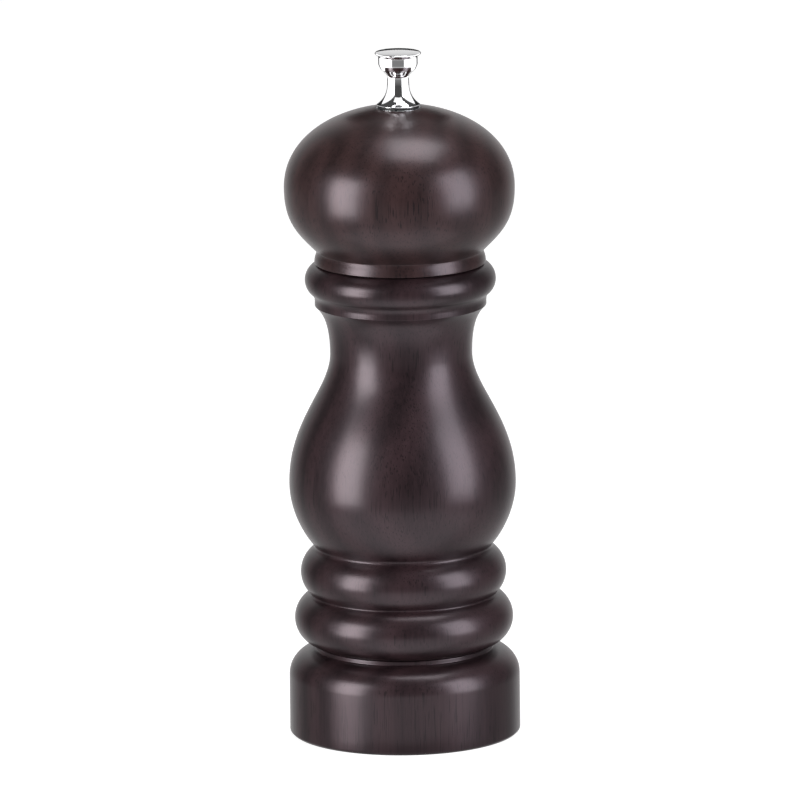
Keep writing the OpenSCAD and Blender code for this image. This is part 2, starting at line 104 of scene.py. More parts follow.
def joinOutline(*parts):
    # stretches one after another, without the doubled points between them
    rows = np.vstack([np.atleast_2d(np.array(p, float)) for p in parts])
    step = np.linalg.norm(np.diff(rows, axis=0), axis=1)
    return rows[np.r_[True, step > 1e-6]]


def softenCorners(rows, radius, sharpest=22.0, closed=True, steps=5):
    # every corner that turns by more than sharpest degrees becomes a small curve
    # from radius before it to radius after it (a quadratic curve on the corner)
    before = np.roll(rows, 1, 0) - rows
    after = np.roll(rows, -1, 0) - rows
    lengthBefore = np.linalg.norm(before, axis=1)
    lengthAfter = np.linalg.norm(after, axis=1)
    cosine = (before * after).sum(1) / np.maximum(lengthBefore * lengthAfter, 1e-12)
    turn = 180 - np.degrees(np.arccos(np.clip(cosine, -1, 1)))
    if not closed:
        turn[[0, -1]] = 0
    cut = np.minimum(radius, np.minimum(lengthBefore, lengthAfter) * 0.45)
    t = np.linspace(0, 1, steps)[:, None]
    made = []
    for i in range(len(rows)):
        if turn[i] < sharpest:
            made.append(rows[i : i + 1])
            continue
        p = rows[i] + before[i] / lengthBefore[i] * cut[i]
        q = rows[i] + after[i] / lengthAfter[i] * cut[i]
        made.append((1 - t) ** 2 * p + 2 * t * (1 - t) * rows[i] + t * t * q)
    return np.vstack(made)


def thinLong(rows, longest, closed=True):
    # splits stretches that are longer than longest, so that quads stay short
    nextRows = np.roll(rows, -1, 0)
    made = []
    for i in range(len(rows) if closed else len(rows) - 1):
        count = max(1, int(math.ceil(np.linalg.norm(nextRows[i] - rows[i]) / longest)))
        t = np.arange(count)[:, None] / count
        made.append(rows[i] * (1 - t) + nextRows[i] * t)
    if not closed:
        made.append(rows[-1:])
    return np.vstack(made)


def meshPiece(name, points, faces, body, replaced, slot):
    # makes the object from millimetre points, smooth shaded, riding on its body
    mesh = bpy.data.meshes.new(name)
    mesh.from_pydata((np.asarray(points) * mm).tolist(), [], [list(f) for f in faces])
    mesh.update()
    mesh.polygons.foreach_set("use_smooth", np.ones(len(mesh.polygons), bool))
    piece = bpy.data.objects.new(name, mesh)
    bpy.context.scene.collection.objects.link(piece)
    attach(piece, body)
    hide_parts(replaced)
    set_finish(piece, slot)
    return piece


def gridFaces(rows, columns, closedRows, start=0):
    # quads of a rows x columns grid that closes round its columns, and round its
    # rows too where closedRows is true
    i = np.arange(rows if closedRows else rows - 1)[:, None]
    j = np.arange(columns)[None, :]
    a = i * columns + j
    b = i * columns + (j + 1) % columns
    c = ((i + 1) % rows) * columns + (j + 1) % columns
    d = ((i + 1) % rows) * columns + j
    return (np.stack([a, b, c, d], -1).reshape(-1, 4) + start).tolist()


def spinPoints(rows, columns, radiusAt=None):
    # surface of revolution: x = r cos a, y = r sin a, z = h; radiusAt(r, h, a) may
    # change the radius with the angle, as on a thread, a tooth or a square
    a = np.linspace(0, 2 * math.pi, columns, endpoint=False)[None, :]
    r = np.repeat(rows[:, :1], columns, 1)
    z = np.repeat(rows[:, 1:], columns, 1)
    if radiusAt is not None:
        r = radiusAt(r, z, a)
    return np.stack([r * np.cos(a), r * np.sin(a), z], -1)


def ringPiece(name, rows, columns, body, replaced, slot, radiusAt=None):
    # closed outline spun round the axis: a ring or a shell with a bore, no poles
    points = spinPoints(rows, columns, radiusAt).reshape(-1, 3)
    return meshPiece(name, points, gridFaces(len(rows), columns, True), body, replaced, slot)


def solidMesh(rows, columns, radiusAt=None, start=0):
    # open outline from the axis to the axis: both ends close in one pole point
    inner = spinPoints(rows[1:-1], columns, radiusAt).reshape(-1, 3)
    points = np.vstack([inner, [[0, 0, rows[0, 1]], [0, 0, rows[-1, 1]]]])
    count = len(rows) - 2
    faces = gridFaces(count, columns, False, start)
    foot, top = start + count * columns, start + count * columns + 1
    j = np.arange(columns)
    after = (j + 1) % columns
    last = (count - 1) * columns
    faces += np.c_[np.full(columns, foot), after + start, j + start].tolist()
    faces += np.c_[np.full(columns, top), last + j + start, last + after + start].tolist()
    return points, faces


def solidPiece(name, rows, columns, body, replaced, slot, radiusAt=None):
    points, faces = solidMesh(rows, columns, radiusAt)
    return meshPiece(name, points, faces, body, replaced, slot)


def squareRadius(half, angle, power=16):
    # rounded square: r = half / (|cos a|^p + |sin a|^p)^(1/p)
    c, s = np.abs(np.cos(angle)), np.abs(np.sin(angle))
    return half / (c**power + s**power) ** (1 / power)


squareHoleHalf = 2.6  # half the width of the square holes that the shaft turns


def threadDepth(z, angle, pitch):
    # share of the thread's depth, 0 at the crest and 1 at the root, climbing one pitch
    # each turn: p = z / pitch - angle / 2 pi, depth = 1.25 |2p - 1| - 0.12, kept in 0..1
    phase = (z / pitch - angle / (2 * math.pi)) % 1.0
    return np.clip(1.25 * np.abs(2 * phase - 1) - 0.12, 0, 1)


bodyTurning = {
    "footRadius": 27.5,
    "footHeight": 14.0,
    "footChamfer": 0.6,
    "shoulder": 7.5,
    "step": (21.1, 1.1),  # radius and height of the step above the shoulder
    "grooves": (20.2, 22.0, 20.7),  # radii of the low, middle and top groove
    "beadRadii": (26.05, 24.5),
    "beadHeights": (12.4, 11.3),
    "vaseRadius": 27.0,
    "vaseRise": (15.6, 31.3),  # groove to widest, widest to neck
    "neckRadius": 16.9,
    "throat": 11.8,
    "filletRadius": 20.4,
    "fillet": 2.4,
    "collarRadius": 22.7,
    "collar": 7.6,
    "lipRadius": 19.9,
    "hollowReach": (0.3, 0.8, 1.3, 1.3, 0.9),  # of each inward corner, from the step up
    "edgeRound": 0.25,
    # how far the handles of each curve reach, as shares of its height
    "shoulderPull": (0.56, 0.36),
    "vaseLowPull": (0.17, 0.45),
    "vaseHighPull": (0.48, 0.28),
    "throatPull": (0.72, 0.1),
}

longestFace = 2.2  # longest stretch of a wooden shell's outline between two rings
shellColumns = 192

bodyBores = {
    "pocket": (20.0, 8.0),  # radius, depth
    "housing": (13.6, 31.35),
    "chamber": 12.5,
    "socket": 14.0,
    "socketFloor": 98.2,
}

headTurning = {
    "edgeRadius": 20.4,
    "skirtDrop": 0.25,  # the rim hangs this far past the glide ring's face
    "waistRadius": 19.85,
    "waist": 2.7,
    "headRadius": 27.4,
    "lowRise": 15.2,
    "upRise": 19.4,
    "landRadius": 5.4,
    "landDrop": 0.8,
    "tenonRadius": 13.75,
    "tenonLength": 12.0,
    "boreRadius": 3.99,
    "bushRadius": 5.04,
    "bushLength": 5.5,
    "edgeRound": 0.3,
    "ringClearance": 0.15,  # the skirt hangs this far outside the glide ring
    "rimChamfer": 0.1,
    # how far the handles of each curve reach, as shares of its height or radius
    "waistPull": 0.4,
    "lowPull": (0.3, 0.54),
    "crownPull": (0.635, 0.515),
}


def bodyOutline(v):
    # the outside from the bottom edge to the lip, then back down through the bores
    low, middle, top = v["grooves"]
    foot = v["footRadius"]
    z1 = v["footHeight"] + v["shoulder"]
    z2 = z1 + v["beadHeights"][0]
    z3 = z2 + v["beadHeights"][1]
    zVase = z3 + v["vaseRise"][0]
    zNeck = zVase + v["vaseRise"][1]
    zFillet = zNeck + v["throat"]
    zCollar = zFillet + v["fillet"]
    zTop = zCollar + v["collar"]
    vase, neck, fillet = v["vaseRadius"], v["neckRadius"], v["filletRadius"]
    lowRise, highRise = v["vaseRise"]
    lowPull, widePull = (lowRise * pull for pull in v["vaseLowPull"])
    highPull, neckPull = (highRise * pull for pull in v["vaseHighPull"])
    throatPull, filletPull = (v["throat"] * pull for pull in v["throatPull"])
    footPull, stepPull = (v["shoulder"] * pull for pull in v["shoulderPull"])
    step, stepHeight = v["step"]
    zStep = z1 - stepHeight
    outside = joinOutline(
        [[foot - v["footChamfer"], 0], [foot, v["footChamfer"]]],
        bezier(
            (foot, v["footHeight"]), (foot, v["footHeight"] + footPull),
            (step + stepPull, zStep), (step, zStep),
        ),
        [[step, z1]],
        roundBead((low, z1), (middle, z2), v["beadRadii"][0]),
        roundBead((middle, z2), (top, z3), v["beadRadii"][1]),
        bezier((top, z3), (top + lowPull, z3 + lowPull), (vase, zVase - widePull), (vase, zVase)),
        bezier((vase, zVase), (vase, zVase + highPull), (neck, zNeck - neckPull), (neck, zNeck), 60),
        bezier(
            (neck, zNeck), (neck, zNeck + throatPull),
            (fillet - filletPull, zFillet - filletPull), (fillet, zFillet),
        ),
        [[fillet, zCollar]],
        roundBead((fillet, zCollar), (v["lipRadius"], zTop), v["collarRadius"]),
    )
    return outside, zTop


def hollowGrooves(rows, reaches):
    # rounds the sharp bottom of each groove: the stretch within reach of an inward
    # corner becomes the quadratic curve (1-t)^2 p + 2t(1-t) corner + t^2 q
    before = rows[1:-1] - rows[:-2]
    after = rows[2:] - rows[1:-1]
    cross = before[:, 0] * after[:, 1] - before[:, 1] * after[:, 0]
    size = np.linalg.norm(before, axis=1) * np.linalg.norm(after, axis=1)
    corners = 1 + np.nonzero(cross / size < -0.5)[0]  # turns inward by over 30 degrees
    along = np.r_[0, np.cumsum(np.linalg.norm(np.diff(rows, axis=0), axis=1))]
    made, start = [], 0
    t = np.linspace(0, 1, 11)[:, None]
    for k, reach in zip(corners, reaches):
        low, high = along[k] - reach, along[k] + reach
        p = np.array([np.interp(low, along, rows[:, 0]), np.interp(low, along, rows[:, 1])])
        q = np.array([np.interp(high, along, rows[:, 0]), np.interp(high, along, rows[:, 1])])
        made.append(rows[start : np.searchsorted(along, low)])
        made.append((1 - t) ** 2 * p + 2 * t * (1 - t) * rows[k] + t * t * q)
        start = np.searchsorted(along, high)
    made.append(rows[start:])
    return np.vstack(made)


def makeBodyShell():
    # the outside and the stepped bores as one closed outline, with softened edges
    outside, top = bodyOutline(bodyTurning)
    outside = hollowGrooves(outside, bodyTurning["hollowReach"])
    pocket, depth = bodyBores["pocket"]
    housing, housingTop = bodyBores["housing"]
    chamber, socket = bodyBores["chamber"], bodyBores["socket"]
    inside = [
        [socket, top], [socket, bodyBores["socketFloor"]], [chamber, bodyBores["socketFloor"]],
        [chamber, housingTop], [housing, housingTop], [housing, depth], [pocket, depth], [pocket, 0],
    ]
    rows = softenCorners(joinOutline(outside, inside), bodyTurning["edgeRound"])
    rows = thinLong(rows, longestFace)
    ringPiece("bodyShell", rows, shellColumns, "body", "body_shell", "lacquered_wood")


def makeHeadShell():
    # up the tenon, out under the skirt, over the waist and the dome to the knob's land,
    # then down through the bush's seat and the bore
    v = headTurning
    low = nodeHeights("head_shell")[0] + v["tenonLength"]
    edge, waist, wide = v["edgeRadius"], v["waistRadius"], v["headRadius"]
    zWaist = low + v["waist"]
    zMid = zWaist + v["lowRise"]
    crown = zMid + v["upRise"]
    lowPull, widePull = (v["lowRise"] * pull for pull in v["lowPull"])
    highPull, crownPull = v["upRise"] * v["crownPull"][0], wide * v["crownPull"][1]
    waistPull = v["waist"] * v["waistPull"]
    dome = bezier((wide, zMid), (wide, zMid + highPull), (crownPull, crown), (0, crown), 70)
    dome = dome[dome[:, 0] > v["landRadius"] + 0.02]  # cut off where the knob's land begins
    land = crown - v["landDrop"]
    rimHeight = np.interp(v["landRadius"], dome[::-1, 0], dome[::-1, 1])
    bushFloor = land - v["bushLength"]
    rim, chamfer = low - v["skirtDrop"], v["rimChamfer"]
    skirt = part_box("glide_ring")[1].x / mm + v["ringClearance"]
    rows = joinOutline(
        [[v["tenonRadius"], low - v["tenonLength"]], [v["tenonRadius"], low]],
        [[skirt, low], [skirt + 2 * chamfer, rim], [edge - chamfer, rim], [edge, rim + chamfer]],
        bezier(
            (edge, rim + chamfer), (edge - chamfer, zWaist - waistPull),
            (waist, zWaist - waistPull), (waist, zWaist), 12,
        ),
        bezier(
            (waist, zWaist), (waist + lowPull, zWaist + lowPull),
            (wide, zMid - widePull), (wide, zMid),
        ),
        dome,
        [[v["landRadius"], rimHeight], [v["landRadius"], land], [v["bushRadius"], land]],
        [[v["bushRadius"], bushFloor], [v["boreRadius"], bushFloor]],
        [[v["boreRadius"], low - v["tenonLength"]]],
    )
    rows = thinLong(softenCorners(rows, v["edgeRound"]), longestFace)
    return ringPiece("headShell", rows, shellColumns, "head", "head_shell", "lacquered_wood")


print("wood shells")
makeBodyShell()
headShell = makeHeadShell()


knobTurning = {
    "height": 13.1,
    "rimRadius": 5.5,
    "rimHeight": 0.94,  # this and the next three are shares of the height
    "drumFoot": 0.75,
    "drumUnderside": 0.66,
    "neckTop": 0.5,
    "drumRadius": 4.65,
    "neckRadius": 2.55,
    "skirtRadius": 5.24,
    "skirtEdge": 0.25,
    "boreRadius": 2.05,
    "boreDepth": 4.6,
    "pitch": 0.7,
    "threadDepth": 0.16,
    "threadStop": 0.3,  # the thread ends this far below the bore's end
    "edgeRound": 0.22,
    "longestFace": 0.35,
}


def makeKnob():
    # bore, trumpet skirt, slim neck, drum and flat rim, from the axis to the axis
    v = knobTurning
    base = nodeHeights("adjusting_knob")[0]
    h, neck, skirt = v["height"], v["neckRadius"], v["skirtRadius"]
    drum, rim, bore = v["drumRadius"], v["rimRadius"], v["boreRadius"]
    rimHeight, drumFoot = h * v["rimHeight"], h * v["drumFoot"]
    underside, neckTop = h * v["drumUnderside"], h * v["neckTop"]
    outside = joinOutline(
        [[0, v["boreDepth"]], [bore, v["boreDepth"]], [bore, 0], [skirt - 0.15, 0]],
        bezier((skirt, v["skirtEdge"]), (skirt * 0.62, h * 0.12), (neck, h * 0.25), (neck, neckTop)),
        bezier(
            (neck, neckTop), (neck, h * 0.55), (neck + 0.4, h * 0.58), (drum * 0.88, underside), 24
        ),
        [[drum, drumFoot], [drum, rimHeight - 0.5], [rim - 0.1, rimHeight], [rim, rimHeight + 0.15]],
        [[rim - 0.15, rimHeight + 0.4]],
        bezier((rim - 0.15, rimHeight + 0.4), (rim * 0.75, h - 0.12), (rim * 0.4, h), (0, h), 16),
    )
    rows = softenCorners(outside, v["edgeRound"], sharpest=12, closed=False, steps=7)
    rows = thinLong(rows, v["longestFace"], closed=False) + [0, base]

    def radius(r, z, a):
        # only the bore's wall is threaded, outwards from its crests
        inBore = (np.abs(r - bore) < 1e-3) & (z < base + v["boreDepth"] - v["threadStop"])
        grooved = v["threadDepth"] * (1 - threadDepth(z, a, v["pitch"]))
        return r + np.where(inBore, grooved, 0)

    return solidPiece("adjustingKnob", rows, 128, "knob", "adjusting_knob", "chrome", radius)


ringSizes = {
    "glideBore": 14.6,  # the glide ring's outer radius comes from the frame
    "knobWasher": (4.94, 2.1),  # outer and inner radius
    "rotorWasher": (4.85, 2.05),
    "springWasher": (5.79, 3.8),
    "guideBush": (3.64, 4.99, 5.99, 0.8),  # radius of bore, sleeve and flange; flange's height
    "headBush": (2.1, 4.99, 5.25, 0.5),
    "washerEdge": 0.08,
    "bushEdge": 0.12,
    "bushFace": 1.2,
    "washerFace": 1.5,
}


def flatRing(name, radii, body, node, slot, columns=96, radiusAt=None):
    # washer or ring: a rectangle with softened corners, spun round the axis
    outer, inner = radii
    low, high = nodeHeights(node)
    rows = np.array([[inner, low], [outer, low], [outer, high], [inner, high]], float)
    rows = thinLong(softenCorners(rows, ringSizes["washerEdge"], steps=4), ringSizes["washerFace"])
    ringPiece(name, rows, columns, body, node, slot, radiusAt)


def squareInside(r, z, a):
    # the spring washer's inner wall follows the shaft's square, its outer one stays
    # round: share = (5.4 - r) / 1.6, kept in 0..1
    share = np.clip((5.4 - r) / 1.6, 0, 1)
    return r * (1 - share) + squareRadius(squareHoleHalf, a) * share


def makeBush(name, node, body, slot, flangeBelow):
    # sleeve with a flange at its lower or its upper end
    bore, sleeve, flange, flangeHeight = ringSizes[name]
    low, high = nodeHeights(node)
    lower, upper = (flange, sleeve) if flangeBelow else (sleeve, flange)
    step = low + flangeHeight if flangeBelow else high - flangeHeight
    rows = [[bore, low], [lower, low], [lower, step], [upper, step], [upper, high], [bore, high]]
    rows = thinLong(softenCorners(np.array(rows), ringSizes["bushEdge"]), ringSizes["bushFace"])
    ringPiece(name, rows, 96, body, node, slot)


def makeRings():
    v = ringSizes
    glide = (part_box("glide_ring")[1].x / mm, v["glideBore"])
    flatRing("glideRing", glide, "body", "glide_ring", "nylon", columns=160)
    flatRing("knobWasher", v["knobWasher"], "knob_seat", "knob_washer", "nylon")
    flatRing("rotorWasher", v["rotorWasher"], "spindle", "rotor_washer", "bright_steel")
    flatRing(
        "springWasher", v["springWasher"], "turning_spring", "spring_washer", "bright_steel",
        columns=128, radiusAt=squareInside,
    )
    makeBush("guideBush", "guide_bush", "body", "brass", flangeBelow=True)
    makeBush("headBush", "head_bush", "head", "bright_steel", flangeBelow=False)


print("knob, bushes and washers")
knob = makeKnob()
makeRings()


shaftBar = {
    "acrossFlats": 5.0,
    "roundRadius": 2.0,
    "pitch": 0.7,
    "threadDepth": 0.3,
    "threadLength": 5.6,
    "threadRings": 12,  # rings of the mesh in each turn of the thread
    "roundEnd": 9.0,  # the square ends this far below the knob
    "grooveRadius": 1.6,
    "grooveRoom": 0.03,
    "journalChamfer": 0.3,
    "cornerPower": 18,
    "squareMark": 2.9,  # stands for the square's radius in the outline
}


def makeShaft():
    # round journal with the circlip's groove, square bar, then a round threaded end
    v = shaftBar
    low, high = nodeHeights("drive_shaft")
    squareLow = nodeHeights("rotor_burr")[0]
    squareTop = nodeHeights("adjusting_knob")[0] - v["roundEnd"]
    clipLow, clipHigh = nodeHeights("shaft_circlip")
    threadLow = high - v["threadLength"]
    r, groove, square, chamfer = (
        v[k] for k in ("roundRadius", "grooveRadius", "squareMark", "journalChamfer")
    )
    clipLow -= v["grooveRoom"]
    journal = joinOutline(
        [[0, low], [r - chamfer, low], [r, low + chamfer], [r, clipLow], [groove, clipLow]],
        [[groove, clipHigh], [r, clipHigh], [r, squareLow], [square, squareLow]],
        [[square, squareTop], [r, squareTop + 0.25], [r, threadLow]],
    )
    journal = softenCorners(journal, 0.1, closed=False, steps=4)
    journal = thinLong(journal, 2.5, closed=False)
    threadCount = int(v["threadLength"] / v["pitch"] * v["threadRings"])
    thread = np.c_[np.full(threadCount, r), np.linspace(threadLow + 0.02, high - 0.32, threadCount)]
    rows = joinOutline(journal, thread, [[r - 0.02, high - 0.3], [r - 0.35, high], [0, high]])

    def radius(rr, z, a):
        # square where the outline stands at the square's mark; the thread's depth fades
        # in above its lower end and out below the tip
        share = np.clip((rr - r) / (square - r), 0, 1)
        bar = squareRadius(v["acrossFlats"] / 2, a, v["cornerPower"])
        depth = v["threadDepth"] * threadDepth(z, a, v["pitch"])
        fade = np.clip((z - threadLow) / 0.6, 0, 1) * np.clip((high - 0.05 - z) / 0.4, 0, 1)
        return rr * (1 - share) + bar * share - depth * fade

    solidPiece("driveShaft", rows, 112, "spindle", "drive_shaft", "bright_steel", radius)


print("shaft")
makeShaft()


burrCut = {
    "taper": 0.25,  # radius lost for each unit of height
    "restGap": 0.45,  # between the two cones at the coarsest setting
    "teeth": 20,
    "toothDepth": 0.7,
    "skewTurn": 0.022,  # turns of skew for each millimetre of height
    "land": 0.28,  # the tooth's uncut share
    "wall": 0.05,
    "columns": 240,
}

rotorCut = {
    "radius": 9.7,
    "lip": 0.4,
    "topChamfer": 0.25,
    "faceRing": 4.2,  # ring on both ends, outside the square hole
    "boreMark": 1.0,  # stands for the square hole's radius in the outline
    "feeds": 4,
    "feedDepth": 1.5,
    "feedStart": (0.3, 0.6),  # share of the height where feeds start, and over which they deepen
    "toothEnd": (0.75, 0.2, 0.25),  # share where teeth end, over which they fade, least depth
    "lipFade": 0.8,
}

statorCut = {
    "outerRadius": 12.45,
    "topRadius": 11.6,
    "footChamfer": 0.15,
    "throat": 0.64,  # share of the height where the tapered teeth end
    "throatFade": 1.5,
    "toothLimit": 11.0,  # teeth are cut only inside this radius
}


def sawTooth(angle, z, count, turn):
    # depth over one tooth, as a share: 0 on the land, a steep wall down to 1 at the
    # root, then a straight ramp back to 0
    land, wall = burrCut["land"], burrCut["wall"]
    phase = (count * angle / (2 * math.pi) + count * turn * z) % 1.0
    ramp = np.clip((phase - land) / (1 - land), 0, 1)
    return (1 - ramp) * np.clip((phase - land) / wall, 0, 1)


def rotorCone():
    # radius that the rotor's cone would have at height 0
    return rotorCut["radius"] + burrCut["taper"] * (nodeHeights("rotor_burr")[0] + rotorCut["lip"])


def makeRotor():
    # cone whose radius is base - taper * height, with a square hole
    v, both = rotorCut, burrCut
    low, high = nodeHeights("rotor_burr")
    base, taper, chamfer = rotorCone(), both["taper"], v["topChamfer"]
    heights = np.linspace(low + v["lip"], high - chamfer, 56)
    rows = joinOutline(
        [[v["faceRing"], low], [v["radius"] - v["lip"], low]],
        np.c_[base - taper * heights, heights],
        [[base - taper * high - chamfer, high], [v["faceRing"], high]],
        np.c_[np.full(24, v["boreMark"]), np.linspace(high, low, 24)],
    )

    def radius(r, z, a):
        # outside the face ring the cone loses the deeper of its teeth, which fade
        # upwards, and its feed grooves, which deepen upwards; inside it is the hole
        rise = (z - low) / (high - low)
        start, deepen = v["feedStart"]
        end, fade, least = v["toothEnd"]
        teeth = both["toothDepth"] * sawTooth(a, z, both["teeth"], both["skewTurn"])
        teeth = teeth * np.clip((end - rise) / fade, least, 1)
        feeds = v["feedDepth"] * sawTooth(a, z, v["feeds"], both["skewTurn"])
        feeds = feeds * np.clip((rise - start) / deepen, 0, 1)
        cut = np.maximum(teeth, feeds) * np.clip((z - low) / v["lipFade"], 0, 1)
        hole = squareRadius(squareHoleHalf, a)
        return np.where(r > v["faceRing"], r - cut, np.where(r < v["faceRing"], hole, r))

    ringPiece("rotorBurr", rows, both["columns"], "spindle", "rotor_burr", "burr_steel", radius)


def makeStator():
    # ring whose wall runs beside the rotor's cone up to the throat, then opens out
    v, both = statorCut, burrCut
    low, high = nodeHeights("stator_burr")
    base, taper = rotorCone() + both["restGap"], both["taper"]
    throat = low + (high - low) * v["throat"]
    outer, top, chamfer = v["outerRadius"], v["topRadius"], v["footChamfer"]
    heights = np.linspace(throat, low + chamfer, 44)
    rows = joinOutline(
        [[base - taper * low + chamfer, low], [outer, low], [outer, high], [top, high]],
        np.c_[np.linspace(top, base - taper * throat, 14), np.linspace(high, throat, 14)],
        np.c_[base - taper * heights, heights],
    )

    def radius(r, z, a):
        # teeth are cut outwards into the wall and fade out just above the throat
        toothTop = throat + v["throatFade"]
        inner = (r < v["toothLimit"]) & (z < toothTop)
        teeth = both["toothDepth"] * sawTooth(-a, z, both["teeth"], -both["skewTurn"])
        return np.where(inner, r + teeth * np.clip((toothTop - z) / v["throatFade"], 0, 1), r)

    ringPiece("statorBurr", rows, both["columns"], "body", "stator_burr", "burr_steel", radius)


print("burrs")
makeRotor()
makeStator()


springCoil = {
    "wire": 0.9,
    "turns": 5.5,
    "closeStep": 1.0,  # rise of each closed end turn
    "radius": 4.886,
    "squeezed": 1.4,
    "ringsPerTurn": 40,
    "wireSides": 14,
}


def makeSpring():
    # helix x = r cos a, y = r sin a whose height climbs by closeStep in the first and
    # the last turn and by openStep in those between; at each step stands a ring of wire
    v = springCoil
    low, high = nodeHeights("compression_spring")
    rings = int(v["turns"] * v["ringsPerTurn"]) + 1
    turn = np.linspace(0, v["turns"], rings)
    sides, half, closeStep = v["wireSides"], v["wire"] / 2, v["closeStep"]
    middle = v["turns"] - 2
    openStep = (high - low - v["wire"] - 2 * closeStep) / middle
    z = low + half + closeStep * np.minimum(turn, 1)
    z += openStep * np.clip(turn - 1, 0, middle)
    z += closeStep * np.maximum(turn - 1 - middle, 0)
    a = 2 * math.pi * turn[:, None]
    around = np.linspace(0, 2 * math.pi, sides, endpoint=False)[None, :]
    r = v["radius"] + half * np.cos(around)
    points = np.stack([r * np.cos(a), r * np.sin(a), z[:, None] + half * np.sin(around)], -1)
    faces = [f[::-1] for f in gridFaces(rings, sides, False)]
    faces += [list(range(sides)), list(range((rings - 1) * sides, rings * sides))[::-1]]
    spring = meshPiece(
        "compressionSpring", points.reshape(-1, 3), faces, "turning_spring",
        "compression_spring", "spring_steel",
    )
    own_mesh(spring)


print("spring")
makeSpring()


screwShape = {
    "headRadius": 2.5,
    "headHeight": 1.4,
    "domeShare": 0.72,  # share of the head's radius that the shallow dome covers
    "domeDrop": 0.12,
    "shank": 1.4,
    "length": 10.0,
    "pitch": 1.3,
    "threadDepth": 0.38,
    "crossWidth": 0.36,
    "crossReach": 1.45,
    "crossDepth": 0.8,
    "columns": 48,
}

screwPlaces = {
    # node, body, distance from the axis, angles
    "housingScrews": ("housing_screws", "body", 16.5, (90, 270)),
    "retainingBarScrews": ("retaining_bar_screws", "body", 16.5, (0, 180)),
    "drivePlateScrews": ("drive_plate_screws", "head", 8.0, (0, 180)),
}


def screwMesh(start):
    # one wood screw, head down, with the underside of its head at height 0: the head
    # has a cross recess, and the shank a thread that thins out into the tip
    v = screwShape
    wide, tall, share = v["headRadius"], v["headHeight"], v["domeShare"]
    top = np.linspace(0, share, 15) * wide
    dome = np.c_[top, -tall + v["domeDrop"] * (top / wide) ** 2]
    rim = bezier(
        (share * wide, -tall + v["domeDrop"] / 2), (0.93 * wide, -tall * 0.9),
        (wide, -tall * 0.6), (wide, -0.15), 9,
    )
    shank = np.linspace(0.35, v["length"] - 0.02, 92)
    taper = np.clip((v["length"] - shank) / (v["shank"] * 2.4), 0, 1) ** 0.7
    rows = joinOutline(
        dome, rim, [[wide - 0.15, 0], [v["shank"], 0]],
        np.c_[0.1 + (v["shank"] - 0.1) * taper, shank], [[0, v["length"]]],
    )

    def radius(r, z, a):
        # the thread's depth shrinks with the radius, so that the tip stays whole
        depth = v["threadDepth"] * threadDepth(z, a, v["pitch"])
        return np.where(z > 0.3, r - depth * np.clip(r / v["shank"], 0, 1), r)

    points, faces = solidMesh(rows, v["columns"], radius, start)
    onTop = points[:, 2] < -tall * 0.88
    x, y = np.abs(points[:, 0]), np.abs(points[:, 1])
    cut = np.clip((v["crossWidth"] - np.minimum(x, y)) / 0.12 + 0.5, 0, 1)
    cut = cut * np.clip((v["crossReach"] - np.maximum(x, y)) / 0.3, 0, 1)
    points[:, 2] += np.where(onTop, v["crossDepth"] * cut, 0)
    return points, faces


def makeScrews(name, node, body, spot, angles):
    # the screws of one node, joined in one mesh
    height = nodeHeights(node)[0] + screwShape["headHeight"]
    allPoints, allFaces = [], []
    for angle in angles:
        points, faces = screwMesh(sum(len(p) for p in allPoints))
        a = math.radians(angle)
        allPoints.append(points + [spot * math.cos(a), spot * math.sin(a), height])
        allFaces += faces
    meshPiece(name, np.vstack(allPoints), allFaces, body, node, "screw_steel")


print("screws")
for name, place in screwPlaces.items():
    makeScrews(name, *place)


pressedPieces = {
    # node, body, slot, width of the softened edge in millimetres
    "mechanismHousing": ("mechanism_housing", "body", "bright_steel", 0.12),
    "retainingBar": ("retaining_bar", "body", "bright_steel", 0.15),
    "drivePlate": ("drive_plate", "head", "bright_steel", 0.15),
    "shaftCirclip": ("shaft_circlip", "spindle", "spring_steel", 0.08),
}

mergeDistance = 2e-5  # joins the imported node's loose triangles, in metres
sliverWidth = 3e-6  # what the bevel leaves narrower than this is welded shut


def pressedCopy(name, node, body, slot, width):
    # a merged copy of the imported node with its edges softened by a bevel
    mesh = nodes[node].data.copy()
    mesh.name = name
    piece = bpy.data.objects.new(name, mesh)
    bpy.context.scene.collection.objects.link(piece)
    work = bmesh.new()
    work.from_mesh(mesh)
    bmesh.ops.remove_doubles(work, verts=work.verts, dist=mergeDistance)
    bmesh.ops.dissolve_limit(work, angle_limit=math.radians(1), verts=work.verts, edges=work.edges)
    work.to_mesh(mesh)
    work.free()
    mesh.polygons.foreach_set("use_smooth", np.zeros(len(mesh.polygons), bool))
    bevel = piece.modifiers.new("softEdge", "BEVEL")
    bevel.width = width * mm
    bevel.segments = 2
    bevel.limit_method = "ANGLE"
    bevel.angle_limit = math.radians(35)
    weld = piece.modifiers.new("closeSlivers", "WELD")
    weld.merge_threshold = sliverWidth
    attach(piece, body)
    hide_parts(node)
    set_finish(piece, slot)


print("pressed steel")
for name, values in pressedPieces.items():
    pressedCopy(name, *values)


